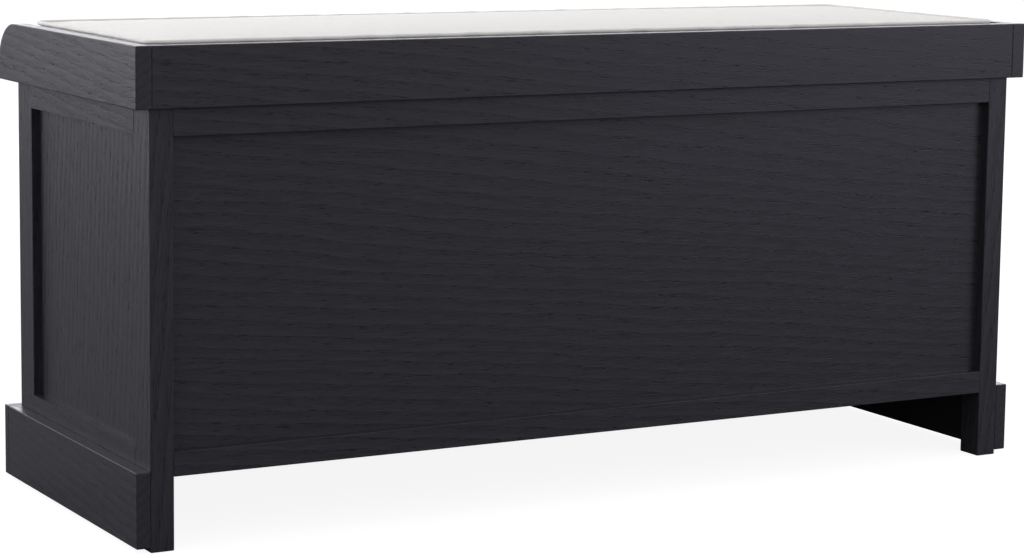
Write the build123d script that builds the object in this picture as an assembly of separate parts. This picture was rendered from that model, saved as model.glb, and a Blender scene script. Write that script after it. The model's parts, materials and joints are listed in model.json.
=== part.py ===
from build123d import *
import os

# A storage bench with a tray seat: four corner posts, framed ends and back, a plinth skirt
# on three sides, three drawers on wooden runners and a loose box cushion in the tray.
# Millimetres. The front faces -Y, +X is the right-hand end seen from the front, +Z is up.
# The origin is under the middle of the whole bench, knobs included, on the floor.

# Overall body
body_width = 1056.0        # over the end frames
body_depth = 378.0         # over the posts
carcass_height = 442.0     # floor to the underside of the tray
leg_height = 75.0          # floor to the lower edge of the bottom rails

# Posts and rails
post_width = 25.0          # along X
post_depth = 32.0          # along Y
lip_thick = 9.0            # outer lip of the rabbeted post, over the end panel
lip_reach = 9.5            # how far the lip goes past the post along Y
rail_thick = 20.0
top_rail_height = 28.0
bottom_rail_height = 25.0
end_rabbet = 10.0          # how far the end panel goes behind its rails
end_panel_thick = 6.0
rear_panel_thick = 4.0
rear_panel_recess = 11.0   # rear face of the posts to the panel
panel_groove = 8.0         # groove depth in the rear rails
post_groove = 6.0          # groove depth in the rear posts
panel_play = 0.5           # a panel's edge to the bottom of its groove or rabbet

# Inside the carcass
divider_thick = 18.0
bottom_board_thick = 12.0
batten_width = 15.0

# Skirt
foot_gap = 5.0             # the skirt hangs this far above the floor
skirt_lap = 7.0            # how far the skirt laps over the bottom rails
end_skirt_thick = 15.0
front_skirt_thick = 12.0

# Tray seat
tray_height = 62.0
tray_board_thick = 17.0
seat_thick = 14.0
tray_front_overhang = 14.0
tray_rear_overhang = 8.0

# Drawers
drawer_names = ("left", "middle", "right")
drawer_gap = 2.0           # all round the drawer front, and beside the drawer box
drawer_front_thick = 18.0
drawer_frame_width = 42.0  # flat border round the sunk field of a drawer front
field_depth = 5.0
field_slope = 35.0         # degrees, the sloped edge of the sunk field
drawer_side_thick = 12.0
drawer_top_room = 52.0     # top of a drawer's sides to the upper edge of its front
drawer_back_drop = 10.0    # the drawer back stops this far below the sides
drawer_rear_room = 15.0    # drawer box to the rear panel
drawer_lift = 8.0          # drawer box above the lower edge of its front
drawer_bottom_thick = 5.0
drawer_bottom_up = 10.0    # lower edge of the box to its bottom panel
drawer_groove = 6.0        # depth of the grooves for the bottom and for the runners
runner_height = 16.0
runner_clearance = 0.3     # above and below the runner in its groove
runner_side_room = 0.5     # runner to the bottom of its groove
runner_end_room = 0.5      # runner tip to the drawer front, the closing stop
runner_rear_room = 5.0     # runner to the plane of the rear rails
cleat_height = 40.0

# Knobs, each a turned metal piece
knob_length = 27.0
knob_radius = 15.0
knob_neck_radius = 5.5
knob_base_radius = 8.5
knob_base_thick = 2.0
knob_neck_length = 7.0
knob_dome_rise = 3.0

# Cushion
cushion_gap = 6.0          # to the tray boards
cushion_setback = 45.0     # front edge of the seat board to the cushion
cushion_thick = 56.0
cushion_rest = 0.3         # clear of the seat board
cushion_corner = 14.0
cushion_edge = 6.0
cover_thick = 1.5
foam_clearance = 0.3

# Fasteners
dowel_radius = 4.0
dowel_bite = 15.0
dowel_wall = 3.0           # wood left round a dowel where two cross in a post
small_dowel_radius = 3.0
small_dowel_bite = 9.0     # into the thinner board
small_dowel_tail = 15.0    # into the edge of the other board
seat_dowel_margin = 40.0   # first dowel from the ends of a row round the seat board
rail_dowel_margin = 14.0
divider_dowel_margin = 50.0
drawer_dowel_margin = 30.0
hole_clearance = 0.1
bore_clearance = 0.6       # round a screw head in its counterbore
screw_point = 0.3
cross_width = 0.5
slot_width = 0.9
frame_screw = {"length": 30.0, "shank": 2.0, "head": 4.0}
seat_screw_margin = 60.0
seat_tip_cover = 2.0       # wood left over the tips of the seat screws
skirt_tip_cover = 4.0
end_skirt_fixing_up = (17.0, 47.0)
front_skirt_fixing_up = (32.0, 62.0)
runner_screw = {"shank": 1.75, "head": 3.5}
runner_screw_margin = 30.0
runner_tip_room = 0.5      # tip to the middle of a divider, where two screws meet
drawer_screw = {"length": 32.0, "shank": 1.75, "head": 3.5}
drawer_screw_margin = 40.0
knob_screw_radius = 2.0
knob_screw_head_radius = 4.0
knob_screw_head_thick = 2.5
knob_screw_bite = 10.0
edge_ease = 1.0            # rounding of the visible board edges

# Levels and planes that follow from the sizes above
half_body = body_width / 2
inner_half = half_body - post_width
knob_reach = knob_length - field_depth
front_reach = max(knob_reach, tray_front_overhang, front_skirt_thick)
overall_depth = front_reach + body_depth + tray_rear_overhang
rear_face = overall_depth / 2 - tray_rear_overhang
front_face = rear_face - body_depth
front_post_inner = front_face + post_depth
rear_post_inner = rear_face - post_depth
front_rail_inner = front_face + rail_thick
rear_rail_inner = rear_face - rail_thick
rear_panel_y = (rear_face - rear_panel_recess - rear_panel_thick, rear_face - rear_panel_recess)
lip_inner_x = half_body - lip_thick
end_rail_inner_x = half_body - rail_thick
end_panel_x = (lip_inner_x - end_panel_thick, lip_inner_x)
top_rail_z = (carcass_height - top_rail_height, carcass_height)
bottom_rail_z = (leg_height, leg_height + bottom_rail_height)
skirt_z = (foot_gap, leg_height + skirt_lap)
skirt_outer_x = half_body + end_skirt_thick
tray_front = front_face - tray_front_overhang
tray_rear = rear_face + tray_rear_overhang
seat_rear = tray_rear - tray_board_thick
seat_z = (carcass_height, carcass_height + seat_thick)
tray_top = carcass_height + tray_height
opening_z = (bottom_rail_z[1], top_rail_z[0])
opening_width = (2 * inner_half - (len(drawer_names) - 1) * divider_thick) / len(drawer_names)
opening_pitch = opening_width + divider_thick
drawer_x = [(n - (len(drawer_names) - 1) / 2) * opening_pitch for n in range(len(drawer_names))]
divider_x = [(low + high) / 2 for low, high in zip(drawer_x, drawer_x[1:])]
drawer_front_rear = front_face + drawer_front_thick
drawer_rear = rear_panel_y[0] - drawer_rear_room
drawer_half = opening_width / 2 - drawer_gap
drawer_inner_half = drawer_half - drawer_side_thick
drawer_low = opening_z[0] + drawer_gap + drawer_lift
drawer_z = (drawer_low, opening_z[1] - drawer_gap - drawer_top_room)
drawer_bottom_z = (drawer_low + drawer_bottom_up, drawer_low + drawer_bottom_up + drawer_bottom_thick)
runner_z = sum(drawer_z) / 2
runner_thick = drawer_gap + drawer_groove - runner_side_room
field_y = front_face + field_depth


def span(centre, size):
    return (centre - size / 2, centre + size / 2)


def spread(low, high, count):
    return [low + (high - low) * n / (count - 1) for n in range(count)]


# A board between two limits on each axis, with its edges rounded when ease is given.
def block(x, y, z, ease=0.0):
    limits = (x, y, z)
    centre = [(low + high) / 2 for low, high in limits]
    solid = Pos(*centre) * Box(*[high - low for low, high in limits])
    if ease > 0:
        solid = fillet(solid.edges(), ease)
    return solid


def rod(start, direction, length, radius):
    place = Plane(origin=start, z_dir=direction)
    return place * Cylinder(radius, length, align=(Align.CENTER, Align.CENTER, Align.MIN))


# Cuts away every tool that comes near the solid.
def cut(solid, tools):
    for tool in tools:
        if solid.bounding_box().overlaps(tool.bounding_box()):
            solid = solid - tool
    return solid


def mirrored(solid):
    return mirror(solid, about=Plane.YZ)


def both_ends(solids):
    return solids + [mirrored(solid) for solid in solids]


def save(name, solids):
    group = [solid for shape in solids for solid in shape.solids()]
    shape = group[0] if len(group) == 1 else Compound(group)
    export_step(shape, f"parts/{name}.step")


# Fasteners. A dowel runs from start along direction. Its hole is the same shape, grown.
def dowel(start, direction, length, radius, grow=0.0):
    start = Vector(*start) - Vector(*direction) * grow
    return rod(start, direction, length + 2 * grow, radius + grow)


# A countersunk screw with its head's top at start and a cross recess in it.
def screw(start, direction, length, shank, head, grow=0.0):
    place = Plane(origin=start, z_dir=direction)
    low = (Align.CENTER, Align.CENTER, Align.MIN)
    head_height = head - shank
    tip = 2 * shank
    solid = Cone(head + grow, shank + grow, head_height, align=low)
    solid += Pos(0, 0, head_height) * Cylinder(shank + grow, length - head_height - tip, align=low)
    solid += Pos(0, 0, length - tip) * Cone(shank + grow, screw_point + grow, tip + grow, align=low)
    if grow == 0:
        for angle in (0, 90):
            solid -= Rot(0, 0, angle) * Box(head, cross_width, head_height)
    return place * solid


# One dowel for each meeting of a rail and a post, listed for the right-hand end.
def frame_dowel_places():
    x_start = inner_half - dowel_bite
    rail_x = (lip_inner_x + end_rail_inner_x) / 2
    top_z = (top_rail_z[0] + panel_groove + top_rail_z[1]) / 2
    bottom_z = (bottom_rail_z[0] + bottom_rail_z[1] - panel_groove) / 2
    end_top_z = (top_rail_z[0] + end_rabbet + top_rail_z[1]) / 2
    end_bottom_z = (bottom_rail_z[0] + bottom_rail_z[1] - end_rabbet) / 2
    x_length = dowel_bite + post_width - lip_thick
    y_bite = post_depth - rail_thick / 2 - dowel_radius - dowel_wall
    places = []
    for z in (top_z, bottom_z):
        for y in (front_face + rail_thick / 2, rear_face - rail_thick / 2):
            places.append(((x_start, y, z), (1, 0, 0), x_length))
    for z in (end_top_z, end_bottom_z):
        places.append(((rail_x, front_post_inner - y_bite, z), (0, 1, 0), y_bite + dowel_bite))
        places.append(((rail_x, rear_post_inner + y_bite, z), (0, -1, 0), y_bite + dowel_bite))
    return places


def frame_dowels(grow=0.0):
    return both_ends([dowel(*place, dowel_radius, grow) for place in frame_dowel_places()])


# Small dowels: tray boards to the seat board and to each other, end skirts to the rear posts,
# dividers to the boards they meet. The rear posts show no screw holes on their inner faces.
def small_dowels(grow=0.0):
    length = small_dowel_bite + small_dowel_tail
    seat_mid = sum(seat_z) / 2
    ends = []
    for y in spread(tray_front + seat_dowel_margin, seat_rear - seat_dowel_margin, 4):
        ends.append(((half_body - small_dowel_tail, y, seat_mid), (1, 0, 0)))
    for z in (seat_z[1] + rail_dowel_margin, tray_top - rail_dowel_margin):
        y = tray_rear - tray_board_thick / 2
        ends.append(((half_body - small_dowel_tail, y, z), (1, 0, 0)))
    for up in end_skirt_fixing_up:
        y = rear_face - post_depth / 2
        ends.append(((half_body - small_dowel_tail, y, foot_gap + up), (1, 0, 0)))
    others = []
    for x in spread(seat_dowel_margin - half_body, half_body - seat_dowel_margin, 6):
        others.append(((x, seat_rear - small_dowel_tail, seat_mid), (0, 1, 0)))
    for x in divider_x:
        ends_y = (front_rail_inner + divider_dowel_margin, rear_rail_inner - divider_dowel_margin)
        for y in spread(*ends_y, 3):
            others.append(((x, y, carcass_height - small_dowel_tail), (0, 0, 1)))
            others.append(((x, y, bottom_rail_z[1] + small_dowel_tail), (0, 0, -1)))
    made = both_ends([dowel(*place, length, small_dowel_radius, grow) for place in ends])
    return made + [dowel(*place, length, small_dowel_radius, grow) for place in others]


# Screws that hold the tray down, and the skirt to the front posts. Each lies in a counterbore.
def frame_screw_places():
    length = frame_screw["length"]
    head_z = seat_z[1] - seat_tip_cover - length
    places = []
    for x in spread(seat_screw_margin - inner_half, inner_half - seat_screw_margin, 5):
        for y in (front_face + rail_thick / 2, rear_face - rear_panel_recess / 2):
            places.append(((x, y, head_z), (0, 0, 1), head_z - top_rail_z[0]))
    head_x = skirt_outer_x - skirt_tip_cover - length
    head_y = front_face - front_skirt_thick + skirt_tip_cover + length
    for side in (-1, 1):
        for up in end_skirt_fixing_up:
            y = front_face + post_depth / 2
            places.append(((side * head_x, y, foot_gap + up), (side, 0, 0), head_x - inner_half))
        for up in front_skirt_fixing_up:
            x = side * (half_body - post_width / 2)
            places.append(((x, head_y, foot_gap + up), (0, -1, 0), front_post_inner - head_y))
    return places


def frame_screws():
    return [screw(start, direction, **frame_screw) for start, direction, _ in frame_screw_places()]


def frame_screw_holes():
    holes = []
    bore = frame_screw["head"] + bore_clearance
    for start, direction, sunk in frame_screw_places():
        holes.append(screw(start, direction, **frame_screw, grow=hole_clearance))
        back = [-step for step in direction]
        holes.append(rod(start, back, sunk, bore))
    return holes


# Runner screws go through each runner into the divider or the cleat behind it.
def runner_sides():
    sides = []
    for x in drawer_x:
        sides.append((x - opening_width / 2, 1))
        sides.append((x + opening_width / 2, -1))
    return sides


def runner_y():
    return (drawer_front_rear + runner_end_room, rear_rail_inner - runner_rear_room)


def runner_screws(grow=0.0):
    length = runner_thick + divider_thick / 2 - runner_tip_room
    made = []
    for wall, inward in runner_sides():
        ends_y = (front_post_inner + runner_screw_margin, rear_post_inner - runner_screw_margin)
        for y in spread(*ends_y, 3):
            start = (wall + inward * runner_thick, y, runner_z)
            made.append(screw(start, (-inward, 0, 0), length, **runner_screw, grow=grow))
    return made


# Carcass
def post(rear):
    face = rear_face if rear else front_face
    inward = -1 if rear else 1
    inner = face + inward * post_depth
    lip_end = inner + inward * lip_reach
    solid = block((inner_half, half_body), sorted((face, inner)), (0, carcass_height), edge_ease)
    lip_y = sorted((face + inward * edge_ease, lip_end))
    lip = block((lip_inner_x, half_body), lip_y, (foot_gap, carcass_height))
    lip_edge = lip.edges().filter_by(Axis.Z).sort_by(Axis.X)[-2:]
    lip = fillet(lip_edge.sort_by(Axis.Y)[0 if rear else -1], edge_ease)
    solid += lip
    if rear:
        groove_z = (bottom_rail_z[1] - panel_groove, top_rail_z[0] + panel_groove)
        solid -= block((inner_half, inner_half + post_groove), rear_panel_y, groove_z)
    return solid


def end_rail(z, inner_z):
    lips = (front_post_inner + lip_reach, rear_post_inner - lip_reach)
    outer = block((lip_inner_x, half_body), lips, z)
    inner = block((end_rail_inner_x, lip_inner_x), (front_post_inner, rear_post_inner), inner_z)
    return outer + inner


def end_panel():
    y = (front_post_inner + panel_play, rear_post_inner - panel_play)
    low = bottom_rail_z[1] - end_rabbet + panel_play
    high = top_rail_z[0] + end_rabbet - panel_play
    return block(end_panel_x, y, (low, high))


def long_rail(y, z):
    return block((-inner_half, inner_half), y, z, edge_ease / 2)


def rear_rail(z, groove_z):
    solid = long_rail((rear_rail_inner, rear_face), z)
    return solid - block((-inner_half, inner_half), rear_panel_y, groove_z)


def rear_panel():
    half = inner_half + post_groove - panel_play
    low = bottom_rail_z[1] - panel_groove + panel_play
    high = top_rail_z[0] + panel_groove - panel_play
    return block((-half, half), rear_panel_y, (low, high))


def divider(x):
    solid = block(span(x, divider_thick), (front_face, rear_panel_y[0]), (bottom_rail_z[1], carcass_height))
    solid -= block(span(x, divider_thick), (front_face, front_rail_inner), top_rail_z)
    solid -= block(span(x, divider_thick), (rear_rail_inner, rear_panel_y[0]), top_rail_z)
    return solid


def bottom_board():
    z = (bottom_rail_z[1] - bottom_board_thick, bottom_rail_z[1])
    solid = block((-inner_half, inner_half), (front_rail_inner, rear_rail_inner), z)
    wide = (-end_rail_inner_x, end_rail_inner_x)
    return solid + block(wide, (front_post_inner, rear_post_inner), z)


def bottom_battens():
    z = (bottom_rail_z[0], bottom_rail_z[1] - bottom_board_thick)
    x = (-inner_half, inner_half)
    front = block(x, (front_rail_inner, front_rail_inner + batten_width), z)
    return [front, block(x, (rear_rail_inner - batten_width, rear_rail_inner), z)]


# The cleats bring the end panels level with the posts, so that a runner has a flat wall.
def runner_cleats():
    x = (inner_half, end_panel_x[0])
    return both_ends([block(x, (front_post_inner, rear_post_inner), span(runner_z, cleat_height))])


def runners():
    height = runner_height - 2 * runner_clearance
    made = []
    for wall, inward in runner_sides():
        x = sorted((wall, wall + inward * runner_thick))
        made.append(block(x, runner_y(), span(runner_z, height)))
    return made


def end_skirt():
    return block((half_body, skirt_outer_x), (front_face, rear_face), skirt_z, edge_ease)


def front_skirt():
    y = (front_face - front_skirt_thick, front_face)
    return block((-skirt_outer_x, skirt_outer_x), y, skirt_z, edge_ease)


# The tray's end board, with its upper front corner cut to a quarter circle.
def tray_end():
    radius = tray_top - seat_z[1]
    shoulder = (tray_front, seat_z[1])
    crown = (tray_front + radius, tray_top)
    outline = Line((tray_front, carcass_height), shoulder)
    outline += CenterArc((tray_front + radius, seat_z[1]), radius, 90, 90)
    rear = [(tray_rear, tray_top), (tray_rear, carcass_height)]
    outline += Polyline(crown, *rear, (tray_front, carcass_height))
    face = Plane.YZ * make_face(outline)
    solid = Pos(half_body, 0, 0) * extrude(face, tray_board_thick)
    return fillet(solid.edges(), edge_ease)


def tray_rear_rail():
    y = (seat_rear, tray_rear)
    return block((-half_body, half_body), y, (carcass_height, tray_top), edge_ease)


def seat_board():
    solid = block((-half_body, half_body), (tray_front, seat_rear), seat_z)
    front_edges = solid.edges().filter_by(Axis.X).sort_by(Axis.Y)[:2]
    return fillet(front_edges, edge_ease)


# Drawers, each made at its place along X
def drawer_front(x):
    z = (opening_z[0] + drawer_gap, opening_z[1] - drawer_gap)
    solid = block(span(x, 2 * drawer_half), (front_face, drawer_front_rear), z, edge_ease)
    field_width = 2 * (drawer_half - drawer_frame_width)
    field_height = z[1] - z[0] - 2 * drawer_frame_width
    place = Plane(origin=(x, front_face, sum(z) / 2), x_dir=(1, 0, 0), z_dir=(0, 1, 0))
    field = extrude(place * Rectangle(field_width, field_height), field_depth, taper=field_slope)
    solid -= field
    groove_x = span(x, 2 * (drawer_inner_half + drawer_groove))
    return solid - block(groove_x, (drawer_front_rear - drawer_groove, drawer_front_rear), drawer_bottom_z)


def drawer_side(x, side):
    outer = x + side * drawer_half
    inner = x + side * drawer_inner_half
    y = (drawer_front_rear, drawer_rear)
    solid = block(sorted((inner, outer)), y, drawer_z)
    top_edges = solid.edges().filter_by(Axis.Y).sort_by(Axis.Z)[-2:]
    solid = fillet(top_edges, edge_ease)
    runner_slot = sorted((outer, outer - side * drawer_groove))
    solid -= block(runner_slot, y, span(runner_z, runner_height))
    bottom_slot = sorted((inner, inner + side * drawer_groove))
    slot_y = (drawer_front_rear, drawer_rear - drawer_side_thick + drawer_groove)
    return solid - block(bottom_slot, slot_y, drawer_bottom_z)


def drawer_back(x):
    y = (drawer_rear - drawer_side_thick, drawer_rear)
    z = (drawer_z[0], drawer_z[1] - drawer_back_drop)
    solid = block(span(x, 2 * drawer_inner_half), y, z)
    groove = (y[0], y[0] + drawer_groove)
    return solid - block(span(x, 2 * drawer_inner_half), groove, drawer_bottom_z)


def drawer_bottom(x):
    reach = drawer_groove - panel_play
    y = (drawer_front_rear - reach, drawer_rear - drawer_side_thick + reach)
    return block(span(x, 2 * (drawer_inner_half + reach)), y, drawer_bottom_z)


def drawer_dowels(x, grow=0.0):
    made = []
    for side in (-1, 1):
        for z in (drawer_z[0] + drawer_dowel_margin, drawer_z[1] - drawer_dowel_margin):
            centre = x + side * (drawer_half - drawer_side_thick / 2)
            start = (centre, drawer_front_rear + small_dowel_tail, z)
            length = small_dowel_tail + small_dowel_bite
            made.append(dowel(start, (0, -1, 0), length, small_dowel_radius, grow))
    return made


def drawer_back_screws(x, grow=0.0):
    made = []
    for side in (-1, 1):
        for z in (drawer_z[0] + drawer_screw_margin, drawer_z[1] - drawer_screw_margin):
            start = (x + side * drawer_half, drawer_rear - drawer_side_thick / 2, z)
            made.append(screw(start, (-side, 0, 0), **drawer_screw, grow=grow))
    return made


def knob_screw(x, grow=0.0):
    z = sum(opening_z) / 2
    length = drawer_front_rear - field_y + knob_screw_bite
    solid = rod((x, drawer_front_rear, z), (0, -1, 0), length + grow, knob_screw_radius + grow)
    if grow == 0:
        head = rod((x, drawer_front_rear, z), (0, 1, 0), knob_screw_head_thick, knob_screw_head_radius)
        solid += fillet(head.edges().sort_by(Axis.Y)[-1], knob_screw_head_thick / 2)
        slot = (drawer_front_rear + knob_screw_head_thick / 2, drawer_front_rear + knob_screw_head_thick)
        solid -= block(span(x, 2 * knob_screw_head_radius), slot, span(z, slot_width))
    return solid


# The knob is turned about its own axis: base, neck, flared head with a domed face.
def knob(x):
    neck_end = knob_base_thick + knob_neck_length
    dome_foot = knob_length - knob_dome_rise
    dome_radius = (knob_radius ** 2 + knob_dome_rise ** 2) / (2 * knob_dome_rise)
    outline = Polyline((0, 0), (knob_base_radius, 0), (knob_base_radius, knob_base_thick),
                       (knob_neck_radius, knob_base_thick), (knob_neck_radius, neck_end))
    outline += JernArc((knob_neck_radius, neck_end), (0, 1), knob_radius - knob_neck_radius, -90)
    outline += Line((knob_radius, neck_end + knob_radius - knob_neck_radius), (knob_radius, dome_foot))
    outline += RadiusArc((knob_radius, dome_foot), (0, knob_length), -dome_radius)
    outline += Line((0, knob_length), (0, 0))
    turned = revolve(Plane.XZ * make_face(outline), Axis.Z)
    turned = fillet(turned.edges().group_by(SortBy.LENGTH)[-1], edge_ease)
    place = Plane(origin=(x, field_y, sum(opening_z) / 2), z_dir=(0, -1, 0))
    return place * turned - knob_screw(x, hole_clearance)


# Cushion: a fabric cover sewn round a block of foam
def cushion_block(inset):
    half = half_body - cushion_gap - inset
    y = (tray_front + cushion_setback + inset, seat_rear - cushion_gap - inset)
    low = seat_z[1] + cushion_rest
    z = (low + inset, low + cushion_thick - inset)
    solid = block((-half, half), y, z)
    solid = fillet(solid.edges().filter_by(Axis.Z), cushion_corner - inset)
    flat_faces = solid.faces().filter_by(Axis.Z)
    return fillet(flat_faces.edges(), cushion_edge - inset)


def cushion_cover():
    return cushion_block(0) - cushion_block(cover_thick)


def save_carcass():
    dowel_holes = frame_dowels(hole_clearance)
    small_holes = small_dowels(hole_clearance)
    screw_holes = frame_screw_holes()
    runner_holes = runner_screws(hole_clearance)
    panel_top = (top_rail_z[0], top_rail_z[0] + panel_groove)
    panel_bottom = (bottom_rail_z[1] - panel_groove, bottom_rail_z[1])
    front_rail_y = (front_face, front_rail_inner)
    end_top = end_rail(top_rail_z, (top_rail_z[0] + end_rabbet, carcass_height))
    end_bottom = end_rail(bottom_rail_z, (bottom_rail_z[0], bottom_rail_z[1] - end_rabbet))
    paired = {
        "post_front": post(False),
        "post_rear": post(True),
        "end_top_rail": end_top,
        "end_bottom_rail": end_bottom,
        "end_panel": end_panel(),
        "skirt": end_skirt(),
        "tray_end": tray_end(),
        "divider": divider(divider_x[-1]),
    }
    single = {
        "rear_top_rail": rear_rail(top_rail_z, panel_top),
        "rear_bottom_rail": rear_rail(bottom_rail_z, panel_bottom),
        "rear_panel": rear_panel(),
        "front_top_rail": long_rail(front_rail_y, top_rail_z),
        "front_bottom_rail": long_rail(front_rail_y, bottom_rail_z),
        "bottom_board": bottom_board(),
        "skirt_front": front_skirt(),
        "tray_rear_rail": tray_rear_rail(),
        "seat_board": seat_board(),
    }
    holes = dowel_holes + small_holes + screw_holes + runner_holes
    for name, solid in paired.items():
        drilled = cut(solid, holes)
        save(f"{name}_right", [drilled])
        save(f"{name}_left", [mirrored(drilled)])
    for name, solid in single.items():
        save(name, [cut(solid, holes)])
    save("bottom_battens", bottom_battens())
    save("runner_cleats", [cut(cleat, runner_holes) for cleat in runner_cleats()])
    save("drawer_runners", [cut(runner, runner_holes) for runner in runners()])
    save("frame_dowels", frame_dowels())
    save("small_dowels", small_dowels())
    save("frame_screws", frame_screws())
    save("runner_screws", runner_screws())


def save_drawer(name, x):
    dowel_holes = drawer_dowels(x, hole_clearance)
    screw_holes = drawer_back_screws(x, hole_clearance)
    front = cut(drawer_front(x), dowel_holes + [knob_screw(x, hole_clearance)])
    save(f"drawer_{name}_front", [front])
    for side, side_name in ((-1, "left"), (1, "right")):
        solid = cut(drawer_side(x, side), dowel_holes + screw_holes)
        save(f"drawer_{name}_side_{side_name}", [solid])
    save(f"drawer_{name}_back", [cut(drawer_back(x), screw_holes)])
    save(f"drawer_{name}_bottom", [drawer_bottom(x)])
    save(f"drawer_{name}_knob", [knob(x)])
    save(f"drawer_{name}_dowels", drawer_dowels(x))
    save(f"drawer_{name}_screws", drawer_back_screws(x) + [knob_screw(x)])


os.makedirs("parts", exist_ok=True)
save_carcass()
for drawer_name, place_x in zip(drawer_names, drawer_x):
    save_drawer(drawer_name, place_x)
save("cushion_cover", [cushion_cover()])
save("cushion_foam", [cushion_block(cover_thick + foam_clearance)])
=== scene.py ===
import bpy
import json
import math
import numpy as np
from mathutils import Matrix, Vector


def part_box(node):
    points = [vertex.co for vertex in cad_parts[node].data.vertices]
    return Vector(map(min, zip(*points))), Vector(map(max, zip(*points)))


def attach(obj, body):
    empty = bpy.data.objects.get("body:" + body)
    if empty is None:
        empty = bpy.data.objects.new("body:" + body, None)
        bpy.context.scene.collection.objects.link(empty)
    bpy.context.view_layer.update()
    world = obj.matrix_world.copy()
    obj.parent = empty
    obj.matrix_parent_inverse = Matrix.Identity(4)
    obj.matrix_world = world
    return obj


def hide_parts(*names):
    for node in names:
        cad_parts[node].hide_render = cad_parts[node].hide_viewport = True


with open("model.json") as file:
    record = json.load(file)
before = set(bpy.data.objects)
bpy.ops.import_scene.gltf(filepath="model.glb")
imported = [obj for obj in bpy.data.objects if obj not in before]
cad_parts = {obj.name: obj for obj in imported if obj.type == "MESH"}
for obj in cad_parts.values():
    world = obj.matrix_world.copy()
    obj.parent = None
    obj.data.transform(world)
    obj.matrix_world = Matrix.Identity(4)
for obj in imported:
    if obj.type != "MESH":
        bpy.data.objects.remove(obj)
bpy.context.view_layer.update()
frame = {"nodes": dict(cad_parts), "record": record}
nodes = frame["nodes"]
print("frame loaded,", len(nodes), "nodes")


# The camera stands behind the bench and to its right-hand end. Metres and degrees.
cameraSettings = {
    "place": (1.5592, 2.7620, 0.7012),
    "yaw": 29.24,        # turn away from looking straight along -Y
    "pitch": 7.50,       # downwards
    "roll": 0.70,
    "focalMm": 99.73,
    "sensorMm": 36,
    "shiftY": -0.06,     # of the sensor's width
    "clip": (0.05, 200),
}


def makeCamera(settings):
    yaw, pitch, roll = (math.radians(settings[k]) for k in ("yaw", "pitch", "roll"))
    forward = Vector((-math.sin(yaw) * math.cos(pitch), -math.cos(yaw) * math.cos(pitch),
                      -math.sin(pitch)))
    right = Vector((-math.cos(yaw), math.sin(yaw), 0))
    down = forward.cross(right)
    turnedRight = right * math.cos(roll) - down * math.sin(roll)
    turnedDown = right * math.sin(roll) + down * math.cos(roll)
    data = bpy.data.cameras.new("benchCamera")
    data.sensor_width = settings["sensorMm"]
    data.lens = settings["focalMm"]
    data.shift_y = settings["shiftY"]
    data.clip_start, data.clip_end = settings["clip"]
    camera = bpy.data.objects.new("benchCamera", data)
    bpy.context.scene.collection.objects.link(camera)
    # a camera looks along its own -Z, with +X to the right and +Y up
    turn = Matrix((turnedRight, -turnedDown, -forward)).transposed()
    camera.matrix_world = Matrix.Translation(settings["place"]) @ turn.to_4x4()
    bpy.context.scene.camera = camera


makeCamera(cameraSettings)
print("camera made")


# An sRGB hex such as "1a2b3c" turned to a linear RGBA colour.
def hexToLinear(text):
    parts = [int(text[i:i + 2], 16) / 255 for i in (0, 2, 4)]
    return tuple(c / 12.92 if c <= 0.04045 else ((c + 0.055) / 1.055) ** 2.4 for c in parts) + (1.0,)


# Adds a node, sets its properties and inputs, and links sockets given as inputName=socket or i2=socket.
def addNode(tree, kind, settings=None, **links):
    node = tree.nodes.new(kind)
    for key, value in (settings or {}).items():
        if isinstance(key, int) or key in node.inputs:
            node.inputs[key].default_value = value
        else:
            setattr(node, key, value)
    for key, socket in links.items():
        place = int(key[1:]) if key[0] == "i" and key[1:].isdigit() else key
        tree.links.new(socket, node.inputs[place])
    return node


# A wave texture repeats every pi / (10 * Scale).
def waveScale(pitchMm):
    return math.pi / 10 / (pitchMm / 1000)


def newMaterial(name):
    material = bpy.data.materials.new(name)
    material.use_nodes = True
    tree = material.node_tree
    return material, tree, tree.nodes["Principled BSDF"]


# The floor is a pale lit table, so it stays pale under the bench too.
stageSettings = {
    "floorHalf": 40.0,
    "floorColour": "727274",
    "floorRoughness": 0.6,
    "floorGlow": 0.90,                # what the eye sees besides the light that falls on it
    "sky": "f8f8f9",
    "skySeen": 1.15,                  # how bright the studio looks
    "skyLow": 1.02,                   # its light from the dim side
    "skyHigh": 1.12,                  # and from the bright side
    "brightSide": (0.35, -0.90, 0.25),
    "sideSpan": 0.9,                  # cosine from that side at which the light is fully bright or dim
}

softLights = [
    {"name": "backLight", "place": (-1.7, -3.1, 1.0), "aim": (0, 0, 0.5), "size": (3.4, 1.5),
     "watts": 36, "colour": "f8f8ff", "spread": 180},
    # aimed over the bench and narrowed to 70 degrees, so that the end is brighter at the tray
    # than at the skirt
    {"name": "endLight", "place": (2.1, -1.3, 0.90), "aim": (0.5, 0, 0.85), "size": (1.4, 0.8),
     "watts": 8.7, "colour": "f8f8ff", "spread": 70},
    {"name": "windowLight", "place": (-2.3, 2.4, 1.1), "aim": (-0.4, 0.2, 0.3), "size": (1.6, 1.2),
     "watts": 25, "colour": "f0eeff", "spread": 180},
]


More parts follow.
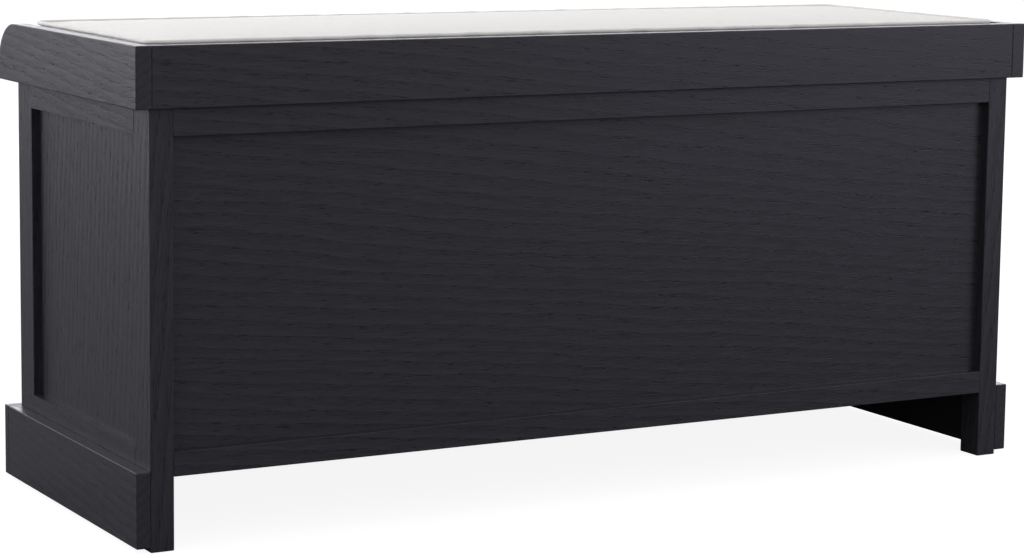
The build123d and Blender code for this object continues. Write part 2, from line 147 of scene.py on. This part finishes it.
def makeFloor(settings):
    material, tree, shader = newMaterial("litTable")
    shader.inputs["Base Color"].default_value = hexToLinear(settings["floorColour"])
    shader.inputs["Roughness"].default_value = settings["floorRoughness"]
    shader.inputs["Specular IOR Level"].default_value = 0.0
    shader.inputs["Emission Color"].default_value = (1, 1, 1, 1)
    rays = addNode(tree, "ShaderNodeLightPath")
    glow = addNode(tree, "ShaderNodeMath", {"operation": "MULTIPLY", 1: settings["floorGlow"]},
                   i0=rays.outputs["Is Camera Ray"])
    tree.links.new(glow.outputs[0], shader.inputs["Emission Strength"])
    half = settings["floorHalf"]
    corners = [(-half, -half, 0), (half, -half, 0), (half, half, 0), (-half, half, 0)]
    mesh = bpy.data.meshes.new("floor")
    mesh.from_pydata(corners, [], [(0, 1, 2, 3)])
    mesh.materials.append(material)
    floor = bpy.data.objects.new("floor", mesh)
    bpy.context.scene.collection.objects.link(floor)


# The studio is an even white to the eye, and its light grows dimmer from one side to the other.
def makeSky(settings):
    world = bpy.data.worlds.new("studio")
    world.use_nodes = True
    tree = world.node_tree
    background = tree.nodes["Background"]
    background.inputs["Color"].default_value = hexToLinear(settings["sky"])
    coords = addNode(tree, "ShaderNodeTexCoord")
    side = Vector(settings["brightSide"]).normalized()
    facing = addNode(tree, "ShaderNodeVectorMath", {"operation": "DOT_PRODUCT", 1: side},
                     i0=coords.outputs["Generated"])
    light = addNode(tree, "ShaderNodeMapRange", {
        "From Min": -settings["sideSpan"], "From Max": settings["sideSpan"],
        "To Min": settings["skyLow"], "To Max": settings["skyHigh"]}, Value=facing.outputs["Value"])
    rays = addNode(tree, "ShaderNodeLightPath")
    strength = addNode(tree, "ShaderNodeMix", {3: settings["skySeen"]},
                       i0=rays.outputs["Is Camera Ray"], i2=light.outputs["Result"])
    tree.links.new(strength.outputs[0], background.inputs["Strength"])
    bpy.context.scene.world = world


def makeLights(lights):
    for light in lights:
        data = bpy.data.lights.new(light["name"], "AREA")
        data.shape = "RECTANGLE"
        data.size, data.size_y = light["size"]
        data.energy = light["watts"]
        data.color = hexToLinear(light["colour"])[:3]
        data.spread = math.radians(light["spread"])
        lamp = bpy.data.objects.new(light["name"], data)
        bpy.context.scene.collection.objects.link(lamp)
        lamp.location = light["place"]
        lamp.rotation_mode = "QUATERNION"
        lamp.rotation_quaternion = (Vector(light["aim"]) - lamp.location).to_track_quat("-Z", "Y")
        lamp.visible_camera = False


makeFloor(stageSettings)
makeSky(stageSettings)
makeLights(softLights)
bpy.context.scene.view_settings.view_transform = "Standard"
print("stage made")


# Every board is cut from a log: rings circle the grain, and fibres and pores run along it.
# Widths are in millimetres, and a fibre's or a pore's length is in widths.
# Rubberwood stained black under a satin lacquer: a dark violet gloss with a hint of open grain.
# Fibres are 1 mm in the real board, and are drawn twice as coarse so that they show. Pores are about
# a quarter of a millimetre, and are drawn at 1 mm or a little more in all three woods.
blackStain = {
    "name": "blackStainedWood",
    "dark": "19181b", "light": "323036", "pore": "0e0d0f",
    "ringMm": 9.0, "ringMix": 0.20, "fibreMm": 2.0, "fibreLength": 20, "fibreMix": 0.70,
    "poreMm": 1.3, "poreLength": 10, "poreFrom": 0.60, "poreMix": 0.5, "poreDepth": 1.0,
    "roughness": (0.28, 0.48), "poolGloss": 0.07, "specular": 0.29, "bumpMm": 0.055, "wanderMm": 20,
    "sheenTint": (0.95, 0.93, 1.0),
}
# The same wood under clear sealer, for the drawer boxes: honey coloured with a low sheen.
clearSealed = {
    "name": "clearSealedWood",
    "dark": "b08a5c", "light": "dcc096", "pore": "8a6a44",
    "ringMm": 8.0, "ringMix": 0.45, "fibreMm": 1.2, "fibreLength": 16, "fibreMix": 0.5,
    "poreMm": 1.1, "poreLength": 10, "poreFrom": 0.62, "poreMix": 0.55, "poreDepth": 1.0,
    "roughness": (0.42, 0.56), "poolGloss": 0, "specular": 0.4, "bumpMm": 0.06, "wanderMm": 18,
    "sheenTint": (1, 1, 1),
}
# Bare sanded hardwood, for runners, battens and dowels: browner and dull.
bareSanded = {
    "name": "bareSandedWood",
    "dark": "a98355", "light": "cfae80", "pore": "84643f",
    "ringMm": 6.0, "ringMix": 0.5, "fibreMm": 1.0, "fibreLength": 14, "fibreMix": 0.6,
    "poreMm": 1.0, "poreLength": 8, "poreFrom": 0.60, "poreMix": 0.6, "poreDepth": 1.0,
    "roughness": (0.60, 0.75), "poolGloss": 0, "specular": 0.25, "bumpMm": 0.10, "wanderMm": 12,
    "sheenTint": (1, 1, 1),
}
logSettings = {
    "behind": 0.060,              # metres from a board's face to the heart of its log
    "behindSpread": 0.022,
    "behindTurn": 2.3,            # radians from one board to the next, so that no two boards match
    "asideShare": 0.30,           # of the board's width
    "asideTurn": 1.7,
    "alongStep": 0.37,            # each board comes from another stretch of the log
    "lean": (0.055, 0.040, 0),    # the cut is not quite along the heart, so wide boards show arches
    "driftMm": 90.909,            # the rings wander over this distance across the log
    "driftLength": 6.25,          # and this many times as far along it
    "driftDetail": 3.0,
    "ringDistortion": 1.2,
    "ringDetail": 2.0,
    "ringDetailScale": 0.6,
    "fibreDetail": 3.0,
    "fibreRoughness": 0.6,
    "poreDetail": 1.0,
    "poreEdge": 0.07,             # a pore's soft rim
    "poreCrowding": 0.09,         # how much sooner a pore opens where a ring is dark
    "glossTones": (0.2, 0.8),     # wood tones at which the lacquer is glossiest and dullest
    "reliefStrength": 0.8,
    # turns a board whose grain runs along X, Y or Z so that it runs along the log's Z
    "turns": {0: (0, -math.pi / 2, 0), 1: (math.pi / 2, 0, 0), 2: (0, 0, 0)},
}


# Grain runs along a board's longest side, and along Y in the drawers' dowels, which share a node.
# The heart lies behind the board's face and a little to one side.
def logPlace(nodeName, seed, settings):
    low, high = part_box(nodeName)
    size = [high[i] - low[i] for i in range(3)]
    dowels = nodeName.startswith("drawer") and nodeName.endswith("_dowels")
    grain = 1 if dowels else size.index(max(size))
    thin = min((i for i in range(3) if i != grain), key=lambda i: size[i])
    wide = 3 - grain - thin
    heart = (low + high) / 2
    deeper = settings["behindSpread"] * math.sin(seed * settings["behindTurn"])
    heart[thin] -= settings["behind"] + deeper
    heart[wide] += settings["asideShare"] * size[wide] * math.sin(seed * settings["asideTurn"])
    heart[grain] -= settings["alongStep"] * seed
    return heart, grain


# Rings are a saw wave of the distance from the log's heart, moved about by slow noise. Fibres are
# noise drawn out along the grain, and pores are where a finer noise passes a threshold.
def woodFinish(nodeName, seed, wood):
    cut = logSettings
    heart, grain = logPlace(nodeName, seed, cut)
    material, tree, shader = newMaterial(wood["name"] + "_" + nodeName)
    coords = addNode(tree, "ShaderNodeTexCoord")
    centred = addNode(tree, "ShaderNodeVectorMath", {"operation": "SUBTRACT", 1: heart},
                      i0=coords.outputs["Object"])
    turned = addNode(tree, "ShaderNodeMapping", {"Rotation": cut["turns"][grain]},
                     Vector=centred.outputs[0])
    log = addNode(tree, "ShaderNodeMapping", {"Rotation": cut["lean"]}, Vector=turned.outputs[0])
    # rings that wander slowly along the trunk
    slow = addNode(tree, "ShaderNodeMapping", {"Scale": (1, 1, 1 / cut["driftLength"])},
                   Vector=log.outputs[0])
    drift = addNode(tree, "ShaderNodeTexNoise", {
        "Scale": 1000 / cut["driftMm"], "Detail": cut["driftDetail"]}, Vector=slow.outputs[0])
    offset = addNode(tree, "ShaderNodeVectorMath", {
        "operation": "SCALE", "Scale": wood["wanderMm"] / 1000}, i0=drift.outputs["Color"])
    wandered = addNode(tree, "ShaderNodeVectorMath", {"operation": "ADD"},
                       i0=log.outputs[0], i1=offset.outputs[0])
    rings = addNode(tree, "ShaderNodeTexWave", {
        "wave_type": "RINGS", "rings_direction": "Z", "wave_profile": "SAW",
        "Scale": waveScale(wood["ringMm"]), "Distortion": cut["ringDistortion"],
        "Detail": cut["ringDetail"], "Detail Scale": cut["ringDetailScale"]},
        Vector=wandered.outputs[0])
    # fibres and open pores, long and thin along the grain
    fibreSpace = addNode(tree, "ShaderNodeMapping", {"Scale": (1, 1, 1 / wood["fibreLength"])},
                         Vector=log.outputs[0])
    fibres = addNode(tree, "ShaderNodeTexNoise", {
        "Scale": 1000 / wood["fibreMm"], "Detail": cut["fibreDetail"],
        "Roughness": cut["fibreRoughness"]}, Vector=fibreSpace.outputs[0])
    poreSpace = addNode(tree, "ShaderNodeMapping", {"Scale": (1, 1, 1 / wood["poreLength"])},
                        Vector=log.outputs[0])
    poreNoise = addNode(tree, "ShaderNodeTexNoise", {
        "Scale": 1000 / wood["poreMm"], "Detail": cut["poreDetail"]}, Vector=poreSpace.outputs[0])
    # the pores crowd where a ring is dark
    crowded = addNode(tree, "ShaderNodeMath", {"operation": "MULTIPLY_ADD", 1: -cut["poreCrowding"]},
                      i0=rings.outputs[1], i2=poreNoise.outputs[0])
    poreFrom = wood["poreFrom"] - cut["poreCrowding"] / 2
    pores = addNode(tree, "ShaderNodeMapRange", {
        "From Min": poreFrom, "From Max": poreFrom + cut["poreEdge"]}, Value=crowded.outputs[0])
    # colour
    ringTone = addNode(tree, "ShaderNodeMath", {"operation": "MULTIPLY", 1: wood["ringMix"]},
                       i0=rings.outputs[1])
    woodTone = addNode(tree, "ShaderNodeMath", {"operation": "MULTIPLY_ADD", 1: wood["fibreMix"]},
                       i0=fibres.outputs[0], i2=ringTone.outputs[0])
    colour = addNode(tree, "ShaderNodeMix", {"data_type": "RGBA", 6: hexToLinear(wood["dark"]),
                                             7: hexToLinear(wood["light"])}, i0=woodTone.outputs[0])
    poreTone = addNode(tree, "ShaderNodeMath", {"operation": "MULTIPLY", 1: wood["poreMix"]},
                       i0=pores.outputs[0])
    stained = addNode(tree, "ShaderNodeMix", {"data_type": "RGBA", 7: hexToLinear(wood["pore"])},
                      i0=poreTone.outputs[0], i6=colour.outputs[2])
    tree.links.new(stained.outputs[2], shader.inputs["Base Color"])
    # the lacquer is duller on the light wood, and glossier where it pooled in the pores
    rough = addNode(tree, "ShaderNodeMapRange", {
        "From Min": cut["glossTones"][0], "From Max": cut["glossTones"][1],
        "To Min": wood["roughness"][0], "To Max": wood["roughness"][1]}, Value=woodTone.outputs[0])
    pooled = addNode(tree, "ShaderNodeMath", {"operation": "MULTIPLY_ADD", 1: -wood["poolGloss"]},
                     i0=pores.outputs[0], i2=rough.outputs[0])
    tree.links.new(pooled.outputs[0], shader.inputs["Roughness"])
    shader.inputs["Specular IOR Level"].default_value = wood["specular"]
    shader.inputs["Specular Tint"].default_value = (*wood["sheenTint"], 1)
    # fibres stand up, pores sink
    relief = addNode(tree, "ShaderNodeMath", {"operation": "MULTIPLY_ADD", 1: -wood["poreDepth"]},
                     i0=pores.outputs[0], i2=fibres.outputs[0])
    bump = addNode(tree, "ShaderNodeBump", {
        "Strength": cut["reliefStrength"], "Distance": wood["bumpMm"] / 1000}, Height=relief.outputs[0])
    tree.links.new(bump.outputs[0], shader.inputs["Normal"])
    return material


metalSettings = {
    "zinc": {"colour": "b9b8b2", "cloudMm": 1.1, "cloudDetail": 2.0, "roughness": (0.25, 0.45)},
    "nickel": {"colour": "b9b2a6", "ringMm": 0.9, "ringDistortion": 0.6, "ringDetail": 2.0,
               "roughness": (0.22, 0.38), "bumpMm": 0.02, "bumpStrength": 0.5},
}


# Zinc plate on steel: pale, a little cloudy, fairly smooth. The clouds are drawn at 1.1 mm, coarser
# than the plating's own grain, so that they show.
def zincPlate(settings):
    material, tree, shader = newMaterial("zincPlate")
    coords = addNode(tree, "ShaderNodeTexCoord")
    cloud = addNode(tree, "ShaderNodeTexNoise", {
        "Scale": 1000 / settings["cloudMm"], "Detail": settings["cloudDetail"]},
        Vector=coords.outputs["Object"])
    rough = addNode(tree, "ShaderNodeMapRange", {
        "To Min": settings["roughness"][0], "To Max": settings["roughness"][1]}, Value=cloud.outputs[0])
    shader.inputs["Base Color"].default_value = hexToLinear(settings["colour"])
    shader.inputs["Metallic"].default_value = 1.0
    tree.links.new(rough.outputs[0], shader.inputs["Roughness"])
    return material


# Brushed nickel, turned on a lathe: fine rings round the knob's axis break up the shine.
# The rings are drawn at 0.9 mm so that they show.
def turnedNickel(nodeName, settings):
    material, tree, shader = newMaterial("nickel_" + nodeName)
    low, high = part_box(nodeName)
    coords = addNode(tree, "ShaderNodeTexCoord")
    centred = addNode(tree, "ShaderNodeVectorMath", {"operation": "SUBTRACT", 1: (low + high) / 2},
                      i0=coords.outputs["Object"])
    rings = addNode(tree, "ShaderNodeTexWave", {
        "wave_type": "RINGS", "rings_direction": "Y", "Scale": waveScale(settings["ringMm"]),
        "Distortion": settings["ringDistortion"], "Detail": settings["ringDetail"]},
        Vector=centred.outputs[0])
    rough = addNode(tree, "ShaderNodeMapRange", {
        "To Min": settings["roughness"][0], "To Max": settings["roughness"][1]}, Value=rings.outputs[1])
    bump = addNode(tree, "ShaderNodeBump", {
        "Strength": settings["bumpStrength"], "Distance": settings["bumpMm"] / 1000},
        Height=rings.outputs[1])
    shader.inputs["Base Color"].default_value = hexToLinear(settings["colour"])
    shader.inputs["Metallic"].default_value = 1.0
    tree.links.new(rough.outputs[0], shader.inputs["Roughness"])
    tree.links.new(bump.outputs[0], shader.inputs["Normal"])
    return material


# Each node takes the finish of its material slot, and each board its own piece of log.
woodOfSlot = {"black_wood": blackStain, "drawer_wood": clearSealed, "plain_wood": bareSanded}
slotOf = {part["node"]: part["material_slot"] for part in frame["record"]["subparts"]}
zinc = zincPlate(metalSettings["zinc"])
for seed, name in enumerate(sorted(nodes)):
    slot = slotOf[name]
    if slot in woodOfSlot:
        finish = woodFinish(name, seed, woodOfSlot[slot])
    elif slot == "knob_metal":
        finish = turnedNickel(name, metalSettings["nickel"])
    else:
        finish = zinc
    nodes[name].data.materials.clear()
    nodes[name].data.materials.append(finish)
print("wood and metal finished")


# The cushion is a sewn cover over foam: a top panel, a side band and a bottom panel meet at two
# piped seams. Metres.
cushionSettings = {
    "acrossCount": 112,       # squares along X
    "deepCount": 40,          # squares along Y
    "bandRows": 9,
    "edgeGrading": 0.55,      # 0 spaces the squares evenly, 1 crowds them to the corners
    "seamInset": 0.0035,      # seam line inside the CAD cushion's sides
    "cornerRadius": 0.014,
    "pullIn": (0.0022, 0.0030),   # middle of the short and of the long sides
    "topSeamDrop": 0.0070,    # below the CAD cushion's top
    "bottomSeamRise": 0.0040,
    "bottomRest": 0.0002,
    "bottomRoll": 0.014,      # width of the curve from the lower seam to the flat bottom
    "puckerHeight": 0.0007,
    "puckerReach": 0.030,
    "puckerWaves": ((1.0, 0.041, 0.0), (0.7, 0.067, 1.9), (0.6, 0.029, 4.2)),   # height, length, start
    "fill": 0.9,              # 0 is slack, 1 is tight
}
swellSettings = {
    "pressure": 4.0, "frames": 20, "quality": 5,
    "mass": 0.3, "stretch": 15, "shear": 5, "bending": 0.5,
    "crownCap": 0.0090,       # the most that the top may swell
    "bandCap": 0.0030,        # and the band
}
clothSettings = {
    "light": "d3d1cd", "dark": "c3c0bb", "slub": "b4b0a8",
    "threadMm": 2.0, "threadDistortion": 0.5, "threadDetail": 1.0,
    "slubMm": 5.0, "slubDetail": 2.0, "slubStretch": 0.12, "slubRange": (0.60, 0.82), "slubMix": 0.7,
    "bumpMm": 0.22, "bumpStrength": 0.6, "roughness": (0.80, 0.95), "sheen": 0.25, "specular": 0.2,
}
pipingSettings = {"radius": 0.0022, "outward": 0.0014, "sides": 12}   # outward is from the seam


# Spreads count + 1 places from -1 to 1, crowded to both ends: a mix of a straight line and a sine.
def gradedSteps(count, grading):
    even = np.linspace(-1, 1, count + 1)
    return (1 - grading) * even + grading * np.sin(even * math.pi / 2)


# One side of a rounded rectangle from corner middle to corner middle, by arc length:
# a 45 degree arc, a straight run that bows inwards like a parabola, and another arc.
def roundedSide(steps, half, depth, radius, pull):
    arc = radius * math.pi / 4
    run = half - radius
    length = steps * (run + arc)
    turn = np.clip((np.abs(length) - run) / radius, 0, math.pi / 4)
    along = np.sign(length) * (np.minimum(np.abs(length), run) + radius * np.sin(turn))
    out = depth - radius + radius * np.cos(turn) - pull * np.clip(1 - (length / run) ** 2, 0, 1)
    return along, out


# Fills the rounded rectangle between its four sides with a Coons patch: opposite sides blended
# across both ways, less the bilinear blend of the four corners.
def roundedPatch(settings, halfX, halfY):
    u = gradedSteps(settings["acrossCount"], settings["edgeGrading"])
    v = gradedSteps(settings["deepCount"], settings["edgeGrading"])
    radius = settings["cornerRadius"]
    alongX, outY = roundedSide(u, halfX, halfY, radius, settings["pullIn"][1])
    alongY, outX = roundedSide(v, halfY, halfX, radius, settings["pullIn"][0])
    low, high = np.stack([alongX, -outY], 1), np.stack([alongX, outY], 1)
    left, right = np.stack([-outX, alongY], 1), np.stack([outX, alongY], 1)
    s, t = ((u + 1) / 2)[:, None, None], ((v + 1) / 2)[None, :, None]
    sides = (1 - t) * low[:, None] + t * high[:, None] + (1 - s) * left[None] + s * right[None]
    corners = ((1 - s) * (1 - t) * low[0] + s * (1 - t) * low[-1] +
               (1 - s) * t * high[0] + s * t * high[-1])
    return sides - corners


# Index of the points round a grid, anticlockwise seen from above.
def rimOrder(across, deep):
    grid = np.arange((across + 1) * (deep + 1)).reshape(across + 1, deep + 1)
    return np.concatenate([grid[:-1, 0], grid[-1, :-1], grid[:0:-1, -1], grid[0, :0:-1]])


# The cover as one closed mesh: a flat top panel at the upper seam, a bottom panel that drops from the
# lower seam by a quarter ellipse, and rows of squares between the seams for the band.
def cushionMesh(settings):
    low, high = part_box("cushion_cover")
    middle = (low + high) / 2
    halfX = (high.x - low.x) / 2 - settings["seamInset"]
    halfY = (high.y - low.y) / 2 - settings["seamInset"]
    across, deep, rows = settings["acrossCount"], settings["deepCount"], settings["bandRows"]
    flat = roundedPatch(settings, halfX, halfY).reshape(-1, 2)
    count = len(flat)
    rim = rimOrder(across, deep)
    topZ, bottomZ = high.z - settings["topSeamDrop"], low.z + settings["bottomSeamRise"]
    # how far each point lies inside the seam, for the roll of the bottom edge
    inside = np.minimum(halfX - np.abs(flat[:, 0]), halfY - np.abs(flat[:, 1]))
    roll = np.clip(inside / settings["bottomRoll"], 0, 1)
    sunk = bottomZ + (low.z + settings["bottomRest"] - bottomZ) * np.sqrt(roll * (2 - roll))
    sunk[rim] = bottomZ
    top = np.column_stack([flat, np.full(count, topZ)])
    bottom = np.column_stack([flat, sunk])
    heights = np.linspace(topZ, bottomZ, rows + 1)
    band = np.concatenate([np.column_stack([flat[rim], np.full(len(rim), z)]) for z in heights[1:-1]])
    points = np.concatenate([top, bottom, band])
    points[:, :2] += (middle.x, middle.y)
    # squares of the panels, the bottom ones turned over so that they face down
    grid = np.arange(count).reshape(across + 1, deep + 1)
    panel = np.stack([grid[:-1, :-1], grid[1:, :-1], grid[1:, 1:], grid[:-1, 1:]], -1).reshape(-1, 4)
    between = [2 * count + k * len(rim) + np.arange(len(rim)) for k in range(rows - 1)]
    loops = [rim] + between + [rim + count]
    bandFaces = [np.stack([lower, np.roll(lower, -1), np.roll(upper, -1), upper], -1)
                 for upper, lower in zip(loops[:-1], loops[1:])]
    faces = np.concatenate([panel, panel[:, ::-1] + count] + bandFaces)
    # cloth coordinates in metres: the plan on the panels, the length round the rim on the band
    planar = points[faces][:, :, :2].copy()
    steps = np.linalg.norm(np.diff(flat[np.append(rim, rim[0])], axis=0), axis=1)
    around = np.concatenate([[0], np.cumsum(steps)])
    first = 2 * len(panel)
    for k in range(rows):
        part = slice(first + k * len(rim), first + (k + 1) * len(rim))
        planar[part, 0, 0] = planar[part, 3, 0] = around[:-1]
        planar[part, 1, 0] = planar[part, 2, 0] = around[1:]
        planar[part, :2, 1] = heights[k + 1]
        planar[part, 2:, 1] = heights[k]
    mesh = bpy.data.meshes.new("cushionCover")
    mesh.from_pydata(points.tolist(), [], faces.tolist())
    mesh.uv_layers.new(name="cloth").data.foreach_set("uv", planar.reshape(-1))
    mesh.polygons.foreach_set("use_smooth", np.ones(len(faces), bool))
    mesh.update()
    return mesh, count, rim, inside


# The cover swells over its foam: cloth with air pressure, held along both seams and on the seat.
# Each point's travel d is then eased to cap * tanh(d / cap), so the swelling stays that of firm foam.
def swell(cover, settings, count, rim):
    held = cover.vertex_groups.new(name="sewn")
    held.add(rim.tolist(), 1.0, "REPLACE")
    held.add(range(count, 2 * count), 1.0, "REPLACE")
    cloth = cover.modifiers.new("swelling", "CLOTH")
    cloth.settings.quality = settings["quality"]
    cloth.settings.mass = settings["mass"]
    cloth.settings.tension_stiffness = cloth.settings.compression_stiffness = settings["stretch"]
    cloth.settings.shear_stiffness = settings["shear"]
    cloth.settings.bending_stiffness = settings["bending"]
    cloth.settings.vertex_group_mass = "sewn"
    cloth.settings.use_pressure = True
    cloth.settings.uniform_pressure_force = settings["pressure"]
    cloth.settings.effector_weights.gravity = 0
    cloth.point_cache.frame_end = settings["frames"]
    rest = np.zeros(len(cover.data.vertices) * 3)
    cover.data.vertices.foreach_get("co", rest)
    scene = bpy.context.scene
    for step in range(1, settings["frames"] + 1):
        scene.frame_set(step)
    swollen = cover.evaluated_get(bpy.context.evaluated_depsgraph_get()).data
    moved = np.zeros(len(rest))
    swollen.vertices.foreach_get("co", moved)
    cover.modifiers.remove(cloth)
    cover.vertex_groups.clear()
    scene.frame_set(1)
    travel = (moved - rest).reshape(-1, 3)
    distance = np.maximum(np.linalg.norm(travel, axis=1), 1e-9)
    cap = np.where(np.arange(len(travel)) < count, settings["crownCap"], settings["bandCap"])
    eased = rest.reshape(-1, 3) + travel * (cap * np.tanh(distance / cap) / distance)[:, None]
    print("cushion swelled by up to", round(float(distance.max()) * 1000, 1), "mm before easing")
    return eased


# Small puckers run in from the upper seam: sine waves along x + y, each with its height, length and
# start, times 4 n (1 - n) cubed, where n goes from 0 at the seam to 1 at the puckers' reach.
def pucker(points, settings, count, inside):
    plan = points[:count]
    phase = (plan[:, 0] + plan[:, 1]) * 2 * math.pi
    wave = sum(height * np.sin(phase / length + start)
               for height, length, start in settings["puckerWaves"])
    near = np.clip(inside / settings["puckerReach"], 0, 1)
    points[:count, 2] += settings["puckerHeight"] * wave * 4 * near * (1 - near) ** 3
    return points


# Plain woven cotton canvas: matt, off-white, with threads that cross over and under and a few
# thicker slubs. Threads are 0.6 mm in the real cloth and are drawn at 2 mm so that they show.
def canvasFinish(name, settings):
    material, tree, shader = newMaterial(name)
    weave = addNode(tree, "ShaderNodeUVMap", {"uv_map": "cloth"})
    warp, weft = (addNode(tree, "ShaderNodeTexWave", {
        "bands_direction": direction, "Scale": waveScale(settings["threadMm"]),
        "Distortion": settings["threadDistortion"], "Detail": settings["threadDetail"]},
        Vector=weave.outputs[0]) for direction in "XY")
    over = addNode(tree, "ShaderNodeTexChecker", {
        "Scale": 1000 / settings["threadMm"], "Color1": (1, 1, 1, 1), "Color2": (0, 0, 0, 1)},
        Vector=weave.outputs[0])
    threads = addNode(tree, "ShaderNodeMix",
                      i0=over.outputs["Fac"], i2=warp.outputs[1], i3=weft.outputs[1])
    slubs = []
    for stretch in ((settings["slubStretch"], 1, 1), (1, settings["slubStretch"], 1)):
        space = addNode(tree, "ShaderNodeMapping", {"Scale": stretch}, Vector=weave.outputs[0])
        slubs.append(addNode(tree, "ShaderNodeTexNoise", {
            "Scale": 1000 / settings["slubMm"], "Detail": settings["slubDetail"]},
            Vector=space.outputs[0]))
    thick = addNode(tree, "ShaderNodeMath", {"operation": "MAXIMUM"},
                    i0=slubs[0].outputs[0], i1=slubs[1].outputs[0])
    slubTone = addNode(tree, "ShaderNodeMapRange", {
        "From Min": settings["slubRange"][0], "From Max": settings["slubRange"][1],
        "To Max": settings["slubMix"]}, Value=thick.outputs[0])
    cloth = addNode(tree, "ShaderNodeMix", {"data_type": "RGBA", 6: hexToLinear(settings["dark"]),
                                            7: hexToLinear(settings["light"])}, i0=threads.outputs[0])
    colour = addNode(tree, "ShaderNodeMix", {"data_type": "RGBA", 7: hexToLinear(settings["slub"])},
                     i0=slubTone.outputs[0], i6=cloth.outputs[2])
    tree.links.new(colour.outputs[2], shader.inputs["Base Color"])
    rough = addNode(tree, "ShaderNodeMapRange", {
        "To Min": settings["roughness"][1], "To Max": settings["roughness"][0]},
        Value=threads.outputs[0])
    tree.links.new(rough.outputs[0], shader.inputs["Roughness"])
    relief = addNode(tree, "ShaderNodeMath", {"operation": "ADD"},
                     i0=threads.outputs[0], i1=slubTone.outputs[0])
    bump = addNode(tree, "ShaderNodeBump", {
        "Strength": settings["bumpStrength"], "Distance": settings["bumpMm"] / 1000},
        Height=relief.outputs[0])
    tree.links.new(bump.outputs[0], shader.inputs["Normal"])
    shader.inputs["Sheen Weight"].default_value = settings["sheen"]
    shader.inputs["Specular IOR Level"].default_value = settings["specular"]
    return material


# A tube round a closed loop: a circle in the plane of the outward and the up directions.
def pipingMesh(loops, settings):
    sides = settings["sides"]
    angle = np.arange(sides) * 2 * math.pi / sides
    points, faces, cloth = [], [], []
    for loop in loops:
        ahead = np.roll(loop, -1, 0) - np.roll(loop, 1, 0)
        outward = np.stack([ahead[:, 1], -ahead[:, 0], np.zeros(len(loop))], 1)
        outward /= np.linalg.norm(outward, axis=1)[:, None]
        centre = loop + settings["outward"] * outward
        ring = (np.cos(angle)[None, :, None] * outward[:, None] +
                np.sin(angle)[None, :, None] * np.array((0, 0, 1)))
        base = len(points) * len(loop) * sides
        points.append((centre[:, None] + settings["radius"] * ring).reshape(-1, 3))
        grid = base + np.arange(len(loop) * sides).reshape(len(loop), sides)
        nextRing, nextSide = np.roll(grid, -1, 0), np.roll(grid, -1, 1)
        faces.append(np.stack([grid, nextRing, np.roll(nextSide, -1, 0), nextSide], -1).reshape(-1, 4))
        steps = np.linalg.norm(np.diff(np.concatenate([centre, centre[:1]]), axis=0), axis=1)
        around = np.concatenate([[0], np.cumsum(steps)])
        girth = np.arange(sides + 1) * 2 * math.pi / sides * settings["radius"]
        u = np.stack([around[:-1], around[1:], around[1:], around[:-1]], -1)[:, None]
        v = np.stack([girth[:-1], girth[:-1], girth[1:], girth[1:]], -1)[None]
        cloth.append(np.stack([u + v, u - v], -1).reshape(-1, 2))   # cut on the bias
    mesh = bpy.data.meshes.new("cushionPiping")
    mesh.from_pydata(np.concatenate(points).tolist(), [], np.concatenate(faces).tolist())
    mesh.uv_layers.new(name="cloth").data.foreach_set("uv", np.concatenate(cloth).reshape(-1))
    mesh.polygons.foreach_set("use_smooth", np.ones(len(mesh.polygons), bool))
    mesh.update()
    return mesh


def makeCushion(settings):
    mesh, count, rim, inside = cushionMesh(settings)
    cover = bpy.data.objects.new("cushionCover", mesh)
    bpy.context.scene.collection.objects.link(cover)
    points = swell(cover, swellSettings, count, rim)
    points = pucker(points, settings, count, inside)
    mesh.vertices.foreach_set("co", points.reshape(-1))
    mesh.update()
    smooth = cover.modifiers.new("smooth", "SUBSURF")
    smooth.levels = smooth.render_levels = 1
    mesh.materials.append(canvasFinish("cottonCanvas", clothSettings))
    seams = [points[rim], points[rim + count]]
    piping = bpy.data.objects.new("cushionPiping", pipingMesh(seams, pipingSettings))
    bpy.context.scene.collection.objects.link(piping)
    piping.data.materials.append(mesh.materials[0])
    for piece in (cover, piping):
        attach(piece, "cushion")
    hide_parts("cushion_cover", "cushion_foam")


makeCushion(cushionSettings)
print("cushion made")
